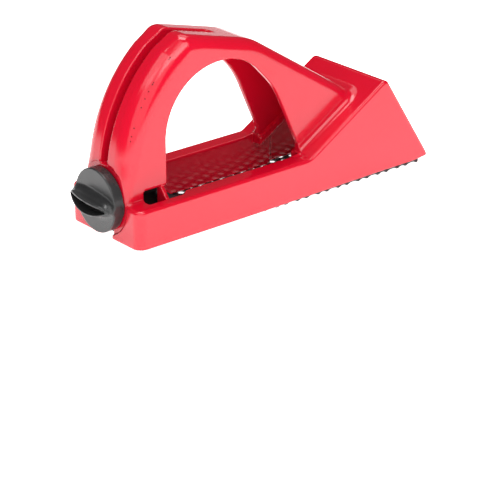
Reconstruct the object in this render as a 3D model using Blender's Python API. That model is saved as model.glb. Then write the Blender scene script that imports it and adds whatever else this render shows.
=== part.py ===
"""Wood rasp with an arched handle: a moulded body, a perforated rasp blade and a screw clamp.

Lengths below are millimetres, measured forward (x) from the outer face of the rear wall, up (z) from
the lower edge of the body, and sideways (y) from the plane of symmetry. MM and the two offsets turn
them into metres in the part's own frame: +X towards the nose, +Z up, origin under the middle.
"""
import math

import bmesh
import bpy
from mathutils import Matrix, Vector
from mathutils.geometry import delaunay_2d_cdt

MM = 0.001

# ---- body -------------------------------------------------------------------------------------
BODY_LENGTH = 154.5
BODY_WIDTH = 45.0
RIM_HEIGHT = 16.0
RAMP_START = 87.3
RIDGE_X = 128.6
RIDGE_Z = 41.0
SIDE_WALL = 5.2
REAR_WALL = 3.5
PLATE = 3.0
REAR_CORNER_RADIUS = 4.0
RIM_ROUNDING = 1.4

# ---- handle -----------------------------------------------------------------------------------
HANDLE_WIDTH = 27.7
HANDLE_WALL = 2.6
HANDLE_ROUNDING = 5.5
LEG_ARC_RADIUS = 64.7
LEG_ARC_START_Z = 22.0
TOP_REAR = (31.0, 76.8)
TOP_FRONT = (67.0, 68.6)
SADDLE = (118.8, 35.0)

# ---- finger hole, knob groove and its channel ---------------------------------------------------
HOLE_REAR = 20.8
HOLE_TOP = 64.3
CHANNEL_HALF_WIDTH = 4.9
GROOVE_HALF_WIDTH = 2.2
CHANNEL_BOTTOM = 23.2
GROOVE_BOTTOM = 29.6
GROOVE_CENTRE = (47.0, 36.0)
GROOVE_RADII = (33.8, 34.5)
GROOVE_TIP = (58.0, 71.5)

# ---- rear seat, deck, webs and slot -------------------------------------------------------------
AXIS_Z = 15.7
SEAT_RADIUS = 14.8
SEAT_DEPTH = 0.8
SHANK_SLOT_RADIUS = 5.0
DECK_LENGTH = 9.5
DECK_UNDERSIDE = 12.6
WEB_REAR = 17.6
WEB_FRONT = 19.4
WEB_BOTTOM = 12.0
LEG_OPENING_TOP = 20.0
LINING_HALF_WIDTH = 14.6
LINING_REAR = 29.0
LINING_FRONT = 90.0

# ---- nose window and blade recess ---------------------------------------------------------------
WINDOW_HALF_WIDTH = 16.3
WINDOW_BOTTOM = 13.5
WINDOW_TOP = 37.2
RECESS_HALF_WIDTH = 15.6
RECESS_BACK = 147.8
RECESS_TOP = 8.6
TOOTH_RADIUS = 3.2
TOOTH_CENTRE_Z = 5.4
TOOTH_FRONT = 148.9

# ---- blade --------------------------------------------------------------------------------------
BLADE_REAR = 4.6
BLADE_FRONT = 150.6
BLADE_WIDTH = 42.0
BLADE_UNDERSIDE = -0.3
BLADE_THICKNESS = 0.8
TOOTH_DROP = 0.9
PUNCH_RADIUS = 1.55
ROW_COUNT = 18
ROW_SPACING = 2.19
ROW_SHIFT = 4.76
ROW_REPEAT = 11.03
FIRST_ROW_Y = 19.5
FIRST_PUNCH_X = 139.5
FRONT_EAR_HEIGHT = 7.8
REAR_EAR_HEIGHT = 4.9
EAR_INNER = 4.3
EAR_OUTER = 14.0
REAR_EAR_HALF_WIDTH = 9.0

# ---- knob, stud, slider and nut -------------------------------------------------------------------
KNOB_RADIUS = 13.1
KNOB_FRONT = 0.5
KNOB_REAR = -4.0
WING_REAR = -9.8
WING_HALF_LENGTH = 12.6
WING_HALF_WIDTH = 4.0
COLLAR_RADIUS = 4.6
COLLAR_FRONT = 8.0
STUD_RADIUS = 2.4
STUD_REAR = -3.0
STUD_FRONT = 23.0
SLIDER_REAR = 9.0
BOSS_RADIUS = 6.1
BOSS_FRONT = 24.6
STEM_HALF_WIDTH = 7.2
ARM_REAR = 20.0
ARM_BOTTOM = 11.0
ARM_TOP = 15.0
ARM_HALF_LENGTH = 16.8
FOOT_REAR = BLADE_REAR + 2.2
FOOT_FRONT = 25.0
FOOT_HALF_WIDTH = 15.5
FOOT_BOTTOM = 1.1
FOOT_TOP = 8.0
NUT_ACROSS_FLATS = 8.0
NUT_REAR = 13.0
NUT_FRONT = 17.0

GAP = 0.3
BEYOND = 165.0
TOOTH_TIPS = BLADE_UNDERSIDE - TOOTH_DROP
OFFSET_X = -(BODY_LENGTH + WING_REAR) / 2
OFFSET_Z = -TOOTH_TIPS


def place(x, y, z):
    """A point of the body's own millimetre frame, in metres in the part's frame."""
    return Vector(((x + OFFSET_X) * MM, y * MM, (z + OFFSET_Z) * MM))


# ---- scene and helpers ----------------------------------------------------------------------------
def clear_scene():
    for item in list(bpy.data.objects):
        bpy.data.objects.remove(item, do_unlink=True)


def collection(name):
    made = bpy.data.collections.new(name)
    bpy.context.scene.collection.children.link(made)
    return made


clear_scene()
PARTS = collection("wood_rasp")
CUTTERS = collection("cutters")


def material(name, colour, roughness, metallic=0.0):
    made = bpy.data.materials.new(name)
    made.use_nodes = True
    shader = made.node_tree.nodes["Principled BSDF"]
    shader.inputs["Base Color"].default_value = (*colour, 1.0)
    shader.inputs["Roughness"].default_value = roughness
    shader.inputs["Metallic"].default_value = metallic
    return made


def new_object(name, mesh, group):
    made = bpy.data.objects.new(name, mesh)
    group.objects.link(made)
    if group is CUTTERS:
        made.hide_render = True
        made.display_type = "WIRE"
    return made


def mesh_object(name, shape, group=None):
    """Turn a bmesh into an object whose faces point out."""
    bmesh.ops.recalc_face_normals(shape, faces=shape.faces)
    mesh = bpy.data.meshes.new(name)
    shape.to_mesh(mesh)
    shape.free()
    return new_object(name, mesh, group or CUTTERS)


def flat_outline(name, points, half_thickness):
    """A filled flat outline, thick both ways, as a mesh: the curve's own plane is XY."""
    curve = bpy.data.curves.new(name, "CURVE")
    curve.dimensions = "2D"
    curve.fill_mode = "BOTH"
    curve.extrude = half_thickness * MM
    line = curve.splines.new("POLY")
    line.points.add(len(points) - 1)
    for spot, (u, v) in zip(line.points, points):
        spot.co = (u * MM, v * MM, 0.0, 1.0)
    line.use_cyclic_u = True
    holder = bpy.data.objects.new(name, curve)
    CUTTERS.objects.link(holder)
    bpy.context.view_layer.update()
    evaluated = holder.evaluated_get(bpy.context.evaluated_depsgraph_get())
    mesh = bpy.data.meshes.new_from_object(evaluated)
    bpy.data.objects.remove(holder, do_unlink=True)
    shape = bmesh.new()
    shape.from_mesh(mesh)
    bmesh.ops.remove_doubles(shape, verts=shape.verts, dist=0.00001)
    bmesh.ops.dissolve_limit(shape, angle_limit=0.001, verts=shape.verts, edges=shape.edges)
    return shape


def side_prism(name, points, half_width, middle_y=0.0):
    """An outline of (x, z) points, as wide as half_width both ways from middle_y."""
    shape = flat_outline(name, points, half_width)
    bmesh.ops.transform(shape, matrix=Matrix.Rotation(math.pi / 2, 4, "X"), verts=shape.verts)
    bmesh.ops.translate(shape, vec=place(0, middle_y, 0), verts=shape.verts)
    return shape


def facing_forward(shape, middle_x, middle_z=0.0):
    """Stand a flat outline of (y, z) points up, its thickness along x and centred on middle_x."""
    turn = Matrix(((0, 0, 1, 0), (1, 0, 0, 0), (0, 1, 0, 0), (0, 0, 0, 1)))
    bmesh.ops.transform(shape, matrix=turn, verts=shape.verts)
    bmesh.ops.translate(shape, vec=place(middle_x, 0, middle_z), verts=shape.verts)
    return shape


def box(name, low, high):
    shape = bmesh.new()
    bmesh.ops.create_cube(shape, size=1.0)
    size = [(b - a) * MM for a, b in zip(low, high)]
    bmesh.ops.scale(shape, vec=size, verts=shape.verts)
    middle = [(a + b) / 2 for a, b in zip(low, high)]
    bmesh.ops.translate(shape, vec=place(*middle), verts=shape.verts)
    return mesh_object(name, shape)


def rod(name, radius, rear, front, sides=32, group=None):
    """A round or polygonal bar on the knob's axis."""
    shape = bmesh.new()
    length = (front - rear) * MM
    bmesh.ops.create_cone(shape, cap_ends=True, segments=sides, radius1=radius * MM,
                          radius2=radius * MM, depth=length)
    bmesh.ops.transform(shape, matrix=Matrix.Rotation(math.pi / 2, 4, "Y"), verts=shape.verts)
    bmesh.ops.translate(shape, vec=place((rear + front) / 2, 0, AXIS_Z), verts=shape.verts)
    return mesh_object(name, shape, group)


def combine(target, tool, operation):
    step = target.modifiers.new(tool.name, "BOOLEAN")
    step.operation = operation
    step.object = tool
    step.solver = "EXACT"


def cut(target, *tools):
    for tool in tools:
        combine(target, tool, "DIFFERENCE")


def join(target, *tools):
    for tool in tools:
        combine(target, tool, "UNION")


def arc(centre, radii, start, end, steps):
    """Points on an ellipse from one angle to another, in degrees."""
    points = []
    for i in range(steps + 1):
        turn = math.radians(start + (end - start) * i / steps)
        points.append((centre[0] + radii[0] * math.cos(turn), centre[1] + radii[1] * math.sin(turn)))
    return points


def rounded(corners, steps=4):
    """A polyline whose corners (x, z, radius) are replaced by arcs."""
    points = []
    count = len(corners)
    for i, (x, z, radius) in enumerate(corners):
        here = Vector((x, z))
        if not radius:
            points.append((x, z))
            continue
        back = (Vector(corners[i - 1][:2]) - here).normalized()
        ahead = (Vector(corners[(i + 1) % count][:2]) - here).normalized()
        half_turn = back.angle(ahead) / 2
        centre = here + (back + ahead).normalized() * (radius / math.sin(half_turn))
        first = here + back * (radius / math.tan(half_turn)) - centre
        last = here + ahead * (radius / math.tan(half_turn)) - centre
        sweep = first.angle_signed(last)
        for j in range(steps + 1):
            turned = first.copy()
            turned.rotate(Matrix.Rotation(-sweep * j / steps, 2))
            points.append(tuple(centre + turned))
    return points


def shifted(line, distance):
    """A straight (point, point) line moved sideways, to its right."""
    (x0, z0), (x1, z1) = line
    length = math.hypot(x1 - x0, z1 - z0)
    step = ((z1 - z0) / length * distance, -(x1 - x0) / length * distance)
    return ((x0 + step[0], z0 + step[1]), (x1 + step[0], z1 + step[1]))


def crossing(first, second):
    """Where two straight lines meet."""
    (ax, az), (bx, bz) = first
    (cx, cz), (dx, dz) = second
    whole = (ax - bx) * (cz - dz) - (az - bz) * (cx - dx)
    one = ax * bz - az * bx
    two = cx * dz - cz * dx
    return ((one * (cx - dx) - (ax - bx) * two) / whole, (one * (cz - dz) - (az - bz) * two) / whole)


def along(line, z):
    """The x of a straight line at height z."""
    (x0, z0), (x1, z1) = line
    return x0 + (x1 - x0) * (z - z0) / (z1 - z0)


RAMP = ((RAMP_START, RIM_HEIGHT), (RIDGE_X, RIDGE_Z))
FACE = ((RIDGE_X, RIDGE_Z), (BODY_LENGTH, 0.0))
TOP_LINE = (TOP_REAR, TOP_FRONT)
SLOPE_LINE = (TOP_FRONT, SADDLE)


def leg_x(z, inset=0.0):
    """The rear face of the handle's rear leg, or a surface that far inside it."""
    radius = LEG_ARC_RADIUS - inset
    return LEG_ARC_RADIUS - math.sqrt(radius ** 2 - max(z - LEG_ARC_START_Z, 0.0) ** 2)


def leg_points(low, high, steps, inset=0.0):
    heights = [low + (high - low) * i / steps for i in range(steps + 1)]
    return [(leg_x(z, inset), z) for z in heights]


# ---- body -----------------------------------------------------------------------------------------
def tray_outer():
    """The low tray with the wedge nose, solid."""
    outline = [(0, 0), (BODY_LENGTH, 0), (RIDGE_X, RIDGE_Z), (RAMP_START, RIM_HEIGHT), (0, RIM_HEIGHT)]
    shape = side_prism("tray", outline, BODY_WIDTH / 2)
    bottom = place(0, 0, 0).z

    def is_rear_corner(edge):
        ends = [v.co.x for v in edge.verts]
        upright = abs(edge.verts[0].co.z - edge.verts[1].co.z) > 0.001
        return upright and max(ends) < place(1, 0, 0).x

    rear = [e for e in shape.edges if is_rear_corner(e)]
    bmesh.ops.bevel(shape, geom=rear, offset=REAR_CORNER_RADIUS * MM, segments=4, profile=0.5,
                    affect="EDGES")
    upper = [e for e in shape.edges if max(v.co.z for v in e.verts) > bottom + 0.001
             and e.is_manifold and e.calc_face_angle(0.0) > math.radians(40)]
    bmesh.ops.bevel(shape, geom=upper, offset=RIM_ROUNDING * MM, segments=2, profile=0.5,
                    affect="EDGES")
    return mesh_object("body", shape, PARTS)


def handle_outer():
    """The arched handle, solid, with its outer edges well rounded."""
    leg = leg_points(RIM_HEIGHT - 6.0, TOP_REAR[1] - 4.5, 12)
    crown = rounded([(*leg[-1], 0), (leg_x(TOP_REAR[1]) + 2.6, TOP_REAR[1] + 0.6, 6.0),
                     (*TOP_FRONT, 30.0), (*SADDLE, 0)])[1:]
    ramp_inside = shifted(RAMP, PLATE / 2)
    low_front = (RAMP_START + 2.0, RIM_HEIGHT - 0.5)
    outline = leg + crown[:-1] + [crossing(SLOPE_LINE, ramp_inside), low_front, (RAMP_START - 6.0, 12.0)]
    shape = side_prism("handle", outline, HANDLE_WIDTH / 2)
    rims = [e for e in shape.edges if e.is_manifold and e.calc_face_angle(0.0) > math.radians(60)
            and abs(e.verts[0].co.y - e.verts[1].co.y) < 0.0001]
    bmesh.ops.bevel(shape, geom=rims, offset=HANDLE_ROUNDING * MM, segments=4, profile=0.5,
                    affect="EDGES")
    return mesh_object("handle_outer", shape)


def tray_cavity():
    """The open inside of the tray, on under the ramp to the nose."""
    underside = shifted(RAMP, PLATE)
    inner_face = shifted(FACE, PLATE)
    front = RECESS_BACK - PLATE - 0.4
    outline = [(REAR_WALL, -2.0), (front, -2.0), crossing(inner_face, ((front, 0), (front, 1))),
               crossing(underside, inner_face), crossing(underside, ((RAMP_START, 0), (RAMP_START, 1))),
               (RAMP_START, RIM_HEIGHT + 1), (DECK_LENGTH, RIM_HEIGHT + 1), (DECK_LENGTH, DECK_UNDERSIDE),
               (REAR_WALL, DECK_UNDERSIDE)]
    return mesh_object("tray_cavity", side_prism("tray_cavity", outline, BODY_WIDTH / 2 - SIDE_WALL))


def handle_cavity():
    """The inside of the handle's channel, which runs on down into the tray and the nose."""
    leg = leg_points(11.0, TOP_REAR[1] - 8.0, 10, inset=HANDLE_WALL)
    top = shifted(TOP_LINE, HANDLE_WALL)
    slope = shifted(SLOPE_LINE, HANDLE_WALL)
    underside = shifted(RAMP, PLATE)
    rear_top = (leg_x(TOP_REAR[1] - 4.0, HANDLE_WALL) + 1.0, TOP_REAR[1] - 3.2)
    front = crossing(slope, underside)
    outline = leg + [rear_top, crossing(top, slope), front, (front[0] - 2.0, front[1] - 4.0),
                     (RAMP_START, 9.0)]
    return mesh_object("handle_cavity", side_prism("handle_cavity", outline,
                                                   HANDLE_WIDTH / 2 - HANDLE_WALL))


def finger_hole():
    corners = [(HOLE_REAR, 8.0, 0), (HOLE_REAR, HOLE_TOP, 27.0), (60.0, HOLE_TOP, 24.0),
               (76.0, 47.0, 40.0), (RAMP_START + 0.6, 20.0, 0), (RAMP_START + 0.1, 8.0, 0)]
    return mesh_object("finger_hole", side_prism("finger_hole", rounded(corners, 6), 17.0))


def groove_floor(offset, steps):
    """The floor of the knob groove, or the face that far in front of it."""
    return arc(GROOVE_CENTRE, (GROOVE_RADII[0] - offset, GROOVE_RADII[1] - offset), 180.0, 108.0, steps)


def channel():
    """The walls and floor of the groove, seen inside the leg as a square column."""
    inner = groove_floor(2.6, 8)
    outer = leg_points(CHANNEL_BOTTOM, TOP_REAR[1] - 5.0, 8, inset=1.2)
    crown = [(TOP_REAR[0] + 1.5, TOP_REAR[1] - 2.6), (inner[-1][0] + 8.0, inner[-1][1] + 1.8)]
    outline = outer + crown + inner[::-1] + [(inner[0][0], CHANNEL_BOTTOM)]
    return mesh_object("channel", side_prism("channel", outline, CHANNEL_HALF_WIDTH))


def groove():
    floor = groove_floor(0.0, 8)
    outline = [(-6.0, GROOVE_BOTTOM), (floor[0][0], GROOVE_BOTTOM)] + floor
    outline += [GROOVE_TIP, (50.0, 90.0), (-6.0, 90.0)]
    return mesh_object("groove", side_prism("groove", outline, GROOVE_HALF_WIDTH))


def shank_slot():
    """The slot in the rear wall that the knob's collar drops into from below."""
    steps = arc((0.0, AXIS_Z), (SHANK_SLOT_RADIUS, SHANK_SLOT_RADIUS), 0.0, 180.0, 10)
    outline = [(SHANK_SLOT_RADIUS, -3.0)] + steps + [(-SHANK_SLOT_RADIUS, -3.0)]
    return mesh_object("shank_slot", facing_forward(flat_outline("shank_slot", outline, 6.0), 0.0))


def window():
    outer = shifted(FACE, -6.0)
    inner = shifted(FACE, PLATE + 3.0)
    outline = [(along(outer, WINDOW_BOTTOM), WINDOW_BOTTOM), (along(outer, WINDOW_TOP), WINDOW_TOP),
               (along(FACE, WINDOW_TOP) - 4.0, WINDOW_TOP - 2.4),
               (along(inner, WINDOW_BOTTOM), WINDOW_BOTTOM)]
    return mesh_object("window", side_prism("window", outline, WINDOW_HALF_WIDTH))


def nose_tooth():
    """The rounded tooth between the blade's front ears."""
    steps = arc((0.0, TOOTH_CENTRE_Z), (TOOTH_RADIUS, TOOTH_RADIUS), 180.0, 360.0, 8)
    outline = [(-TOOTH_RADIUS, RECESS_TOP - 0.1)] + steps + [(TOOTH_RADIUS, RECESS_TOP - 0.1)]
    half_depth = (TOOTH_FRONT - RECESS_BACK + 1.0) / 2
    shape = flat_outline("nose_tooth", outline, half_depth)
    return mesh_object("nose_tooth", facing_forward(shape, TOOTH_FRONT - half_depth))


def leg_web(side):
    """The thin web from the leg's lower front corner down and out to the rim."""
    inner, outer = HANDLE_WIDTH / 2 - HANDLE_WALL, HANDLE_WIDTH / 2
    rim = BODY_WIDTH / 2 - SIDE_WALL + 0.5
    outline = [(inner, WEB_BOTTOM), (rim, WEB_BOTTOM), (rim, RIM_HEIGHT - 0.4),
               (outer - 0.4, LEG_OPENING_TOP + 1.0), (inner, LEG_OPENING_TOP + 1.0)]
    flat = [(side * y, z) for y, z in outline]
    shape = flat_outline("leg_web", flat, (WEB_FRONT - WEB_REAR) / 2)
    return mesh_object("leg_web", facing_forward(shape, (WEB_REAR + WEB_FRONT) / 2))


def lining(side):
    """The thicker stretch of side wall along the finger hole."""
    reach = sorted((side * LINING_HALF_WIDTH, side * (BODY_WIDTH / 2 - SIDE_WALL + 0.5)))
    bottom = BLADE_UNDERSIDE + BLADE_THICKNESS + GAP
    return box("lining", (LINING_REAR, reach[0], bottom), (LINING_FRONT, reach[1], RIM_HEIGHT))


def build_body():
    body = tray_outer()
    join(body, handle_outer())
    inner_half = BODY_WIDTH / 2 - SIDE_WALL
    leg_opening = box("leg_opening", (DECK_LENGTH, -inner_half, DECK_UNDERSIDE),
                      (HOLE_REAR + 1.0, inner_half, LEG_OPENING_TOP))
    cut(body, tray_cavity(), handle_cavity(), finger_hole(), leg_opening)
    join(body, channel())
    join(body, leg_web(1), leg_web(-1), lining(1), lining(-1))
    cut(body, groove(), shank_slot(), rod("seat", SEAT_RADIUS, -20.0, SEAT_DEPTH), window())
    recess_low = (RECESS_BACK, -RECESS_HALF_WIDTH, -4.0)
    cut(body, box("recess", recess_low, (BEYOND, RECESS_HALF_WIDTH, RECESS_TOP)))
    join(body, nose_tooth())
    rebate = BLADE_WIDTH / 2 + 0.35
    ceiling = BLADE_UNDERSIDE + BLADE_THICKNESS + GAP
    cut(body, box("blade_rebate", (REAR_WALL, -rebate, -4.0), (BEYOND, rebate, ceiling)))
    return body


# ---- blade ----------------------------------------------------------------------------------------
def punch_centres():
    """Where the blade is punched: slanting rows, one behind the next."""
    centres = []
    for row in range(ROW_COUNT):
        y = FIRST_ROW_Y - ROW_SPACING * row
        x = (FIRST_PUNCH_X + ROW_SHIFT * row) % ROW_REPEAT
        while x < BLADE_FRONT - 2.6:
            if x > BLADE_REAR + 2.8:
                centres.append((x, y))
            x += ROW_REPEAT
    return centres


def punched_sheet():
    """The flat sheet with a six-sided hole and a raised lip at each punch."""
    half = BLADE_WIDTH / 2
    rear, front = BLADE_REAR + 0.4, BLADE_FRONT - 0.9
    spots = [Vector((rear, -half)), Vector((front, -half)), Vector((front, half)), Vector((rear, half))]
    rims = [(0, 1), (1, 2), (2, 3), (3, 0)]
    drops = [0.0] * 4
    centres = punch_centres()
    for x, y in centres:
        first = len(spots)
        for corner in range(6):
            turn = math.radians(60 * corner)
            spots.append(Vector((x + PUNCH_RADIUS * math.cos(turn), y + PUNCH_RADIUS * math.sin(turn))))
            drops.append((0.0, 0.0, 0.35, 1.0, 0.35, 0.0)[corner] * TOOTH_DROP)
            rims.append((first + corner, first + (corner + 1) % 6))
    flat, _, faces, origins, _, _ = delaunay_2d_cdt(spots, rims, [], 1, 0.0001)
    shape = bmesh.new()
    corners = []
    for spot, source in zip(flat, origins):
        drop = drops[source[0]] if source else 0.0
        corners.append(shape.verts.new(place(spot.x, spot.y, BLADE_UNDERSIDE - drop)))
    for face in faces:
        middle = sum((flat[i] for i in face), Vector((0.0, 0.0))) / len(face)
        if all(math.dist(middle, c) > PUNCH_RADIUS * 0.7 for c in centres):
            shape.faces.new([corners[i] for i in face])
    loose = [v for v in shape.verts if not v.link_faces]
    bmesh.ops.delete(shape, geom=loose, context="VERTS")
    made = bmesh.ops.extrude_face_region(shape, geom=shape.faces[:])
    raised = [v for v in made["geom"] if isinstance(v, bmesh.types.BMVert)]
    bmesh.ops.translate(shape, vec=(0, 0, BLADE_THICKNESS * MM), verts=raised)
    return mesh_object("rasp_blade", shape, PARTS)


def blade_end(name, edge, forward, inner, outer, height):
    """A bent-up ear on the end of the blade: forward is +1 at the nose and -1 at the rear."""
    low, high = BLADE_UNDERSIDE + 0.12, BLADE_UNDERSIDE + BLADE_THICKNESS - 0.12
    root = edge - forward * 2.3
    bend = [(root, low), (edge - forward * 0.8, low), (edge, low + 1.2), (edge - forward * 0.9, height),
            (edge - forward * 1.7, height - 0.1), (edge - forward * 0.8, low + 1.6),
            (edge - forward * 1.2, high), (root, high)]
    shape = side_prism(name, bend, (outer - inner) / 2, (outer + inner) / 2)
    return mesh_object(name, shape)


def build_blade():
    blade = punched_sheet()
    join(blade, blade_end("front_ear_left", BLADE_FRONT, 1, EAR_INNER, EAR_OUTER, FRONT_EAR_HEIGHT),
         blade_end("front_ear_right", BLADE_FRONT, 1, -EAR_OUTER, -EAR_INNER, FRONT_EAR_HEIGHT),
         blade_end("rear_ear", BLADE_REAR, -1, -REAR_EAR_HALF_WIDTH, REAR_EAR_HALF_WIDTH,
                   REAR_EAR_HEIGHT))
    return blade


# ---- knob and stud ----------------------------------------------------------------------------------
def lens(half_length, half_width, steps=10):
    """A pointed oval: two equal arcs."""
    radius = (half_length ** 2 + half_width ** 2) / (2 * half_width)
    reach = math.degrees(math.asin(half_length / radius))
    upper = arc((0.0, half_width - radius), (radius, radius), 90 + reach, 90 - reach, steps)
    lower = [(u, -v) for u, v in upper[1:-1]]
    return upper + lower[::-1]


def wing():
    """The finger wing: a pointed oval in plan, arched along its length."""
    depth = (KNOB_REAR - WING_REAR) + 1.0
    plan = flat_outline("wing", lens(WING_HALF_LENGTH, WING_HALF_WIDTH), depth / 2)
    made = mesh_object("wing", facing_forward(plan, WING_REAR + depth / 2, AXIS_Z))
    crest = arc((KNOB_REAR + 1.2, 0.0), (KNOB_REAR + 1.2 - WING_REAR, WING_HALF_LENGTH + 1.6), 90, 270, 12)
    shape = flat_outline("wing_arch", crest, 10.0)
    bmesh.ops.translate(shape, vec=place(0, 0, AXIS_Z), verts=shape.verts)
    combine(made, mesh_object("wing_arch", shape), "INTERSECT")
    hollow = flat_outline("wing_hollow", lens(WING_HALF_LENGTH - 2.2, WING_HALF_WIDTH - 1.1), 2.5)
    cut(made, mesh_object("wing_hollow", facing_forward(hollow, WING_REAR, AXIS_Z)))
    return made


def build_knob():
    knob = rod("tension_knob", KNOB_RADIUS, KNOB_REAR, KNOB_FRONT, 36, group=PARTS)
    join(knob, rod("collar", COLLAR_RADIUS, KNOB_FRONT - 1.0, COLLAR_FRONT, 20), wing())
    cut(knob, rod("stud_hole", STUD_RADIUS + GAP, STUD_REAR - GAP, COLLAR_FRONT + 2.0, 16))
    return knob


def build_stud():
    return rod("knob_stud", STUD_RADIUS, STUD_REAR, STUD_FRONT, 16, group=PARTS)


# ---- slider and nut ---------------------------------------------------------------------------------
def build_slider():
    slider = rod("tension_slider", BOSS_RADIUS, SLIDER_REAR, BOSS_FRONT, 24, group=PARTS)
    stem = box("slider_stem", (SLIDER_REAR, -STEM_HALF_WIDTH, FOOT_BOTTOM + 0.9),
               (BOSS_FRONT - 2.6, STEM_HALF_WIDTH, AXIS_Z + 1.0))
    arms = box("slider_arms", (ARM_REAR, -ARM_HALF_LENGTH, ARM_BOTTOM),
               (BOSS_FRONT - 0.6, ARM_HALF_LENGTH, ARM_TOP))
    foot_outline = [(FOOT_REAR, FOOT_BOTTOM), (FOOT_FRONT, FOOT_BOTTOM), (FOOT_FRONT, FOOT_BOTTOM + 1.3),
                    (FOOT_FRONT - 4.5, FOOT_TOP), (FOOT_REAR + 2.8, FOOT_TOP), (FOOT_REAR, FOOT_TOP - 2.6)]
    foot = mesh_object("slider_foot", side_prism("slider_foot", foot_outline, FOOT_HALF_WIDTH))
    join(slider, stem, arms, foot)
    pocket_radius = (NUT_ACROSS_FLATS / 2 + GAP) / math.cos(math.pi / 6)
    cut(slider, rod("stud_bore", STUD_RADIUS + 0.5, 0.0, 40.0, 16),
        rod("nut_pocket", pocket_radius, 0.0, NUT_FRONT + GAP, 6))
    return slider


def build_nut():
    corner_radius = NUT_ACROSS_FLATS / 2 / math.cos(math.pi / 6)
    nut = rod("captive_nut", corner_radius, NUT_REAR, NUT_FRONT, 6, group=PARTS)
    cut(nut, rod("nut_bore", STUD_RADIUS + GAP + 0.05, 0.0, 40.0, 16))
    return nut


def finish(item, look):
    item.data.materials.append(look)
    for polygon in item.data.polygons:
        polygon.use_smooth = True
    item.data.set_sharp_from_angle(angle=math.radians(35))


def main():
    red = material("red_plastic", (0.78, 0.02, 0.03), 0.25)
    black = material("black_plastic", (0.03, 0.032, 0.035), 0.42)
    steel = material("blued_steel", (0.16, 0.17, 0.17), 0.38, 0.9)
    zinc = material("zinc_steel", (0.6, 0.6, 0.6), 0.35, 1.0)
    finish(build_body(), red)
    finish(build_blade(), steel)
    finish(build_knob(), black)
    finish(build_stud(), zinc)
    finish(build_slider(), black)
    finish(build_nut(), zinc)


main()
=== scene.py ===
"""Looks for the wood rasp: moulded body, perforated blade, knob, threaded stud, slider and nut.

Shapes are worked out in millimetres from the rear lower edge of the body: x forward to the nose,
y sideways from the plane of symmetry, z up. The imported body's box says where that corner is.
A solid is a signed distance (negative inside), built up by trimming, joining and carving with
rounded edges, and then turned into a mesh.
"""
import math

import bmesh
import bpy
import numpy as np
from mathutils import Matrix, Vector
from mathutils.geometry import delaunay_2d_cdt


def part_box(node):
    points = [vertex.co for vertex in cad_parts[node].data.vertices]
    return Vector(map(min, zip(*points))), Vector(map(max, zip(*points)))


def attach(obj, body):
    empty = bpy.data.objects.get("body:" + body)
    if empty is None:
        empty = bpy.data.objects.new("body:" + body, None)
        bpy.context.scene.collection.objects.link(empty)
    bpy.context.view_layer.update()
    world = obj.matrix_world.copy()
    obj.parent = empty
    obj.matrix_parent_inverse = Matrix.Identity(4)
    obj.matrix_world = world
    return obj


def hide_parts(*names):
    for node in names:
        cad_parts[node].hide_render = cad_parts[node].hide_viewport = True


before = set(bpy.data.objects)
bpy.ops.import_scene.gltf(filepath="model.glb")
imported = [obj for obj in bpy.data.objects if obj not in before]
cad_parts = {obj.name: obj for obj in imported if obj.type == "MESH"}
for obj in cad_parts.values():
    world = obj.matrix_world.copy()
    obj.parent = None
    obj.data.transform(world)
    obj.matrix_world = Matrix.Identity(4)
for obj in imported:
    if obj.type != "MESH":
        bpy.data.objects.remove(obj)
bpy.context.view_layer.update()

MM = 0.001
BODY_LOW, BODY_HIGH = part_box("body")
CORNER = np.array([BODY_LOW.x, 0.0, BODY_LOW.z])

# ---- body ----------------------------------------------------------------------------------------
BODY_LENGTH = (BODY_HIGH.x - BODY_LOW.x) / MM
HALF_WIDTH = BODY_HIGH.y / MM
RIM_HEIGHT = 16.0
RAMP_START = (87.3, 16.0)
RIDGE = (128.6, 41.0)
NOSE = (BODY_LENGTH, 0.0)
TOE = 152.9
INNER_HALF_WIDTH = 17.3
LINING = 2.7
REAR_WALL = 3.5
PLATE = 3.0
REAR_CORNER_RADIUS = 4.0
RIM_ROUNDING = 1.4
RIDGE_ROUNDING = 2.5
EDGE_LIFT = 0.9
TOE_LIFT = 0.7
FILLET = 1.2
NOSE_FILLET_GAIN = 2.2

# ---- handle --------------------------------------------------------------------------------------
HANDLE_HALF_WIDTH = 13.85
HANDLE_WALL = 2.6
HANDLE_ROUNDING = 5.2
REAR_ROUNDING_GAIN = 2.6
FOOT_ROUNDING_LOSS = 3.2
LEG_CENTRE = (64.7, 22.0)
TOP_REAR = (31.0, 76.8)
TOP_FRONT = (67.0, 68.6)
SADDLE = (118.8, 35.0)
HOLE_OUTLINE = [(20.8, -6.0, 0), (20.8, 64.3, 27.0), (60.0, 64.3, 24.0), (76.0, 47.0, 40.0),
                (87.9, 20.0, 0), (87.4, -6.0, 0)]
GROOVE_HALF_WIDTH = 2.2
GROOVE_BOTTOM = 29.6
GROOVE_CENTRE = (47.0, 36.0)
GROOVE_RADII = (33.8, 34.5)
GROOVE_FRONT = 54.0
CHANNEL_HALF_WIDTH = 4.9
CHANNEL_BOTTOM = 23.2

# ---- knob seat, deck, nose -----------------------------------------------------------------------
AXIS_Z = 15.7
SEAT_RADIUS = 14.8
SEAT_DEPTH = 0.8
SHANK_SLOT_RADIUS = 5.0
DECK_LENGTH = 9.5
DECK_UNDERSIDE = 12.6
WEB = (17.6, 19.4)
WEB_BOTTOM = 12.0
LEG_OPENING_TOP = 20.0
WINDOW_HALF_WIDTH = 16.3
WINDOW_HEIGHTS = (13.5, 37.2)
RECESS_HALF_WIDTH = 15.6
RECESS_BACK = 147.8
RECESS_TOP = 8.6
TOOTH_RADIUS = 3.2
TOOTH_CENTRE_Z = 5.4
TOOTH_FRONT = 148.9

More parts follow.
